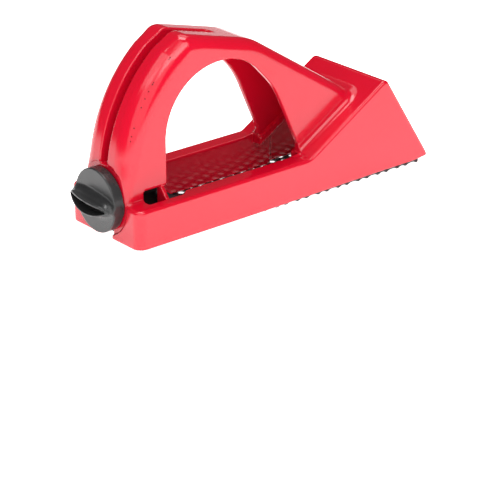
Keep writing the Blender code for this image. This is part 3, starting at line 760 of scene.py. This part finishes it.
# ---- materials -----------------------------------------------------------------------------------
class Look:
    """A Principled material whose colour, roughness and bump come from nodes."""

    def __init__(self, name, **constants):
        self.material = bpy.data.materials.new(name)
        self.material.use_nodes = True
        self.tree = self.material.node_tree
        self.shader = self.tree.nodes["Principled BSDF"]
        for socket, value in constants.items():
            self.shader.inputs[socket.replace("_", " ")].default_value = value
        self.place = self.node("ShaderNodeTexCoord").outputs["Object"]

    def node(self, kind, **values):
        made = self.tree.nodes.new(kind)
        for name, value in values.items():
            made.inputs[name.replace("_", " ")].default_value = value
        return made

    def link(self, start, end):
        self.tree.links.new(start, end)

    def noise(self, scale, detail=3.0, rough=0.55, stretch=None):
        made = self.node("ShaderNodeTexNoise", Scale=scale, Detail=detail, Roughness=rough)
        source = self.place
        if stretch:
            mapping = self.node("ShaderNodeMapping", Scale=stretch)
            self.link(self.place, mapping.inputs["Vector"])
            source = mapping.outputs["Vector"]
        self.link(source, made.inputs["Vector"])
        return made.outputs["Fac"]

    def ramp(self, factor, stops):
        made = self.node("ShaderNodeValToRGB")
        ramp = made.color_ramp
        while len(ramp.elements) < len(stops):
            ramp.elements.new(0.5)
        for element, (spot, colour) in zip(ramp.elements, stops):
            element.position = spot
            element.color = (*colour, 1.0)
        self.link(factor, made.inputs["Fac"])
        return made.outputs["Color"]

    def spread(self, factor, low, high):
        made = self.node("ShaderNodeMapRange", To_Min=low, To_Max=high)
        made.inputs["From Min"].default_value = 0.15
        made.inputs["From Max"].default_value = 0.85
        self.link(factor, made.inputs["Value"])
        return made.outputs["Result"]

    def mix(self, factor, first, second):
        made = self.tree.nodes.new("ShaderNodeMix")
        made.data_type = "RGBA"
        self.link(factor, made.inputs[0])
        self.link(first, made.inputs[6])
        self.link(second, made.inputs[7])
        return made.outputs[2]

    def edges(self, low, high):
        """Nearly 1 on sharp outer edges, 0 elsewhere."""
        geometry = self.tree.nodes.new("ShaderNodeNewGeometry")
        made = self.node("ShaderNodeMapRange", To_Min=0.0, To_Max=1.0)
        made.inputs["From Min"].default_value = low
        made.inputs["From Max"].default_value = high
        self.link(geometry.outputs["Pointiness"], made.inputs["Value"])
        return made.outputs["Result"]

    def bump(self, *layers):
        last = None
        for height, strength, distance in layers:
            made = self.node("ShaderNodeBump", Strength=strength, Distance=distance)
            self.link(height, made.inputs["Height"])
            if last:
                self.link(last, made.inputs["Normal"])
            last = made.outputs["Normal"]
        self.link(last, self.shader.inputs["Normal"])


def red_plastic():
    look = Look("red_plastic", IOR=1.56, Subsurface_Weight=0.08, Subsurface_Radius=(0.9, 0.12, 0.1),
                Subsurface_Scale=0.002)
    tone = look.ramp(look.noise(22.0, 2.0), [(0.2, (0.58, 0.0025, 0.018)), (0.8, (0.65, 0.004, 0.025))])
    look.link(tone, look.shader.inputs["Base Color"])
    look.link(look.spread(look.noise(30.0, 2.0), 0.13, 0.18), look.shader.inputs["Roughness"])
    look.bump((look.noise(2600.0, 3.0), 0.05, 0.00003))
    return look.material


def black_plastic(name, roughness, level):
    look = Look(name, IOR=1.5)
    dark, light = (level * 0.85,) * 3, (level, level * 1.02, level * 1.05)
    tone = look.ramp(look.noise(120.0, 4.0), [(0.3, dark), (0.7, light)])
    look.link(tone, look.shader.inputs["Base Color"])
    shine = look.spread(look.noise(160.0, 5.0), roughness - 0.05, roughness + 0.08)
    look.link(shine, look.shader.inputs["Roughness"])
    look.bump((look.noise(2200.0, 2.0), 0.12, 0.00004))
    return look.material


def blued_steel():
    look = Look("blued_steel", Metallic=0.1, IOR=1.5)
    sheet = look.ramp(look.noise(55.0, 5.0, 0.6), [(0.3, (0.012, 0.014, 0.015)), (0.7, (0.028, 0.03, 0.032))])
    # The sharp outer edges and bends are mixed to a lighter grey: a painted highlight along the edges.
    painted_edge_highlight = look.ramp(look.noise(400.0), [(0.3, (0.03, 0.032, 0.034)), (0.7, (0.06, 0.063, 0.066))])
    look.link(look.mix(look.edges(0.56, 0.66), sheet, painted_edge_highlight), look.shader.inputs["Base Color"])
    shine = look.spread(look.noise(300.0, 4.0, 0.6, (0.3, 3.0, 1.0)), 0.34, 0.5)
    look.link(shine, look.shader.inputs["Roughness"])
    look.bump((look.noise(900.0, 4.0, 0.6, (0.25, 2.5, 1.0)), 0.12, 0.00006))
    return look.material


def zinc_steel():
    look = Look("zinc_steel", Metallic=1.0)
    tone = look.ramp(look.noise(300.0), [(0.3, (0.50, 0.51, 0.52)), (0.7, (0.68, 0.68, 0.66))])
    look.link(tone, look.shader.inputs["Base Color"])
    look.link(look.spread(look.noise(700.0), 0.28, 0.42), look.shader.inputs["Roughness"])
    look.bump((look.noise(1800.0), 0.1, 0.00004))
    return look.material


def floor_paper():
    look = Look("floor_paper", Roughness=0.9, Specular_IOR_Level=0.1, Emission_Color=(1.0, 0.99, 0.985, 1.0),
                Emission_Strength=1.15)
    tone = look.ramp(look.noise(4.0), [(0.3, (0.93, 0.93, 0.93)), (0.7, (0.95, 0.95, 0.95))])
    look.link(tone, look.shader.inputs["Base Color"])
    return look.material


# ---- stage ---------------------------------------------------------------------------------------
def make_floor():
    bpy.ops.mesh.primitive_plane_add(size=8.0, location=(0, 0, 0))
    floor = bpy.context.object
    floor.name = "floor"
    floor.data.materials.append(floor_paper())


def to_metres(point):
    return Vector(CORNER + np.array(point) * MM)


def make_camera():
    azimuth, elevation, roll = (math.radians(a) for a in (CAMERA_AZIMUTH, CAMERA_ELEVATION, CAMERA_ROLL))
    back = Vector((math.sin(azimuth) * math.cos(elevation), -math.cos(azimuth) * math.cos(elevation),
                   math.sin(elevation)))
    level = Vector((math.cos(azimuth), math.sin(azimuth), 0.0))
    upright = back.cross(level)
    right = level * math.cos(roll) + upright * math.sin(roll)
    up = upright * math.cos(roll) - level * math.sin(roll)
    data = bpy.data.cameras.new("camera")
    data.lens = CAMERA_LENS
    data.sensor_width = 36.0
    data.clip_start, data.clip_end = 0.05, 20.0
    camera = bpy.data.objects.new("camera", data)
    bpy.context.scene.collection.objects.link(camera)
    target = to_metres(AIM) + (right * AIM_RIGHT + up * AIM_UP) * MM
    place = target + back * CAMERA_DISTANCE * MM
    camera.matrix_world = Matrix.Translation(place) @ Matrix((right, up, back)).transposed().to_4x4()
    bpy.context.scene.camera = camera


def area_light(name, place, aim, size, power, colour=(1.0, 1.0, 1.0)):
    data = bpy.data.lights.new(name, "AREA")
    data.shape = "RECTANGLE"
    data.size, data.size_y = size
    data.energy = power
    data.color = colour
    lamp = bpy.data.objects.new(name, data)
    bpy.context.scene.collection.objects.link(lamp)
    lamp.location = place
    lamp.rotation_euler = (Vector(aim) - Vector(place)).to_track_quat("-Z", "Y").to_euler()


def make_lights():
    world = bpy.data.worlds.new("studio")
    world.use_nodes = True
    sky = world.node_tree.nodes["Background"]
    sky.inputs["Color"].default_value = (0.95, 0.97, 1.0, 1.0)
    sky.inputs["Strength"].default_value = 0.09
    bpy.context.scene.world = world
    bpy.context.scene.view_settings.view_transform = "Standard"
    area_light("side", (-0.13, -0.8, 0.93), (0.0, 0.0, 0.03), (0.8, 0.6), 5.0)
    area_light("rear", (-0.7, -0.17, 1.08), (0.0, 0.0, 0.03), (0.9, 0.7), 4.0)
    area_light("overhead", (0.1, 0.1, 1.3), (0.0, 0.0, 0.03), (0.7, 0.5), 7.0)
    area_light("front", (0.5, 0.5, 1.1), (0.0, 0.0, 0.03), (0.8, 0.6), 2.5)
    area_light("fill", (-0.6, -0.75, 0.5), (0.0, 0.0, 0.03), (1.2, 1.0), 4.5)


# ---- assembly ------------------------------------------------------------------------------------
def dressed(piece, body, slot, look, *nodes):
    piece.data.materials.append(look)
    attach(piece, body)
    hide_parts(*nodes)


def main():
    body = solid_mesh("moulded_body", body_distance, (-1.5, -24.0, -1.5), (156.5, 24.0, 79.0),
                      BODY_STEP, BODY_KEEP)
    dressed(body, "frame", "body_plastic", red_plastic(), "body")
    blade = make_blade()
    dressed(blade, "frame", "blade_steel", blued_steel(), "rasp_blade")
    knob = solid_mesh("wing_knob", knob_distance, (-11.0, -14.5, 1.2), (9.5, 14.5, 30.2), SMALL_STEP)
    dressed(knob, "knob", "knob_plastic", black_plastic("knob_plastic", 0.28, 0.028), "tension_knob")
    dressed(make_stud(), "knob", "zinc_steel", zinc_steel(), "knob_stud")
    slider = solid_mesh("clamp_slider", slider_distance, (5.5, -18.2, -0.5), (26.0, 18.2, 23.2),
                        SMALL_STEP)
    dressed(slider, "slider", "clamp_plastic", black_plastic("clamp_plastic", 0.3, 0.01), "tension_slider")
    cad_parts["captive_nut"].data.materials.clear()
    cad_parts["captive_nut"].data.materials.append(zinc_steel())
    make_floor()
    make_camera()
    make_lights()


main()
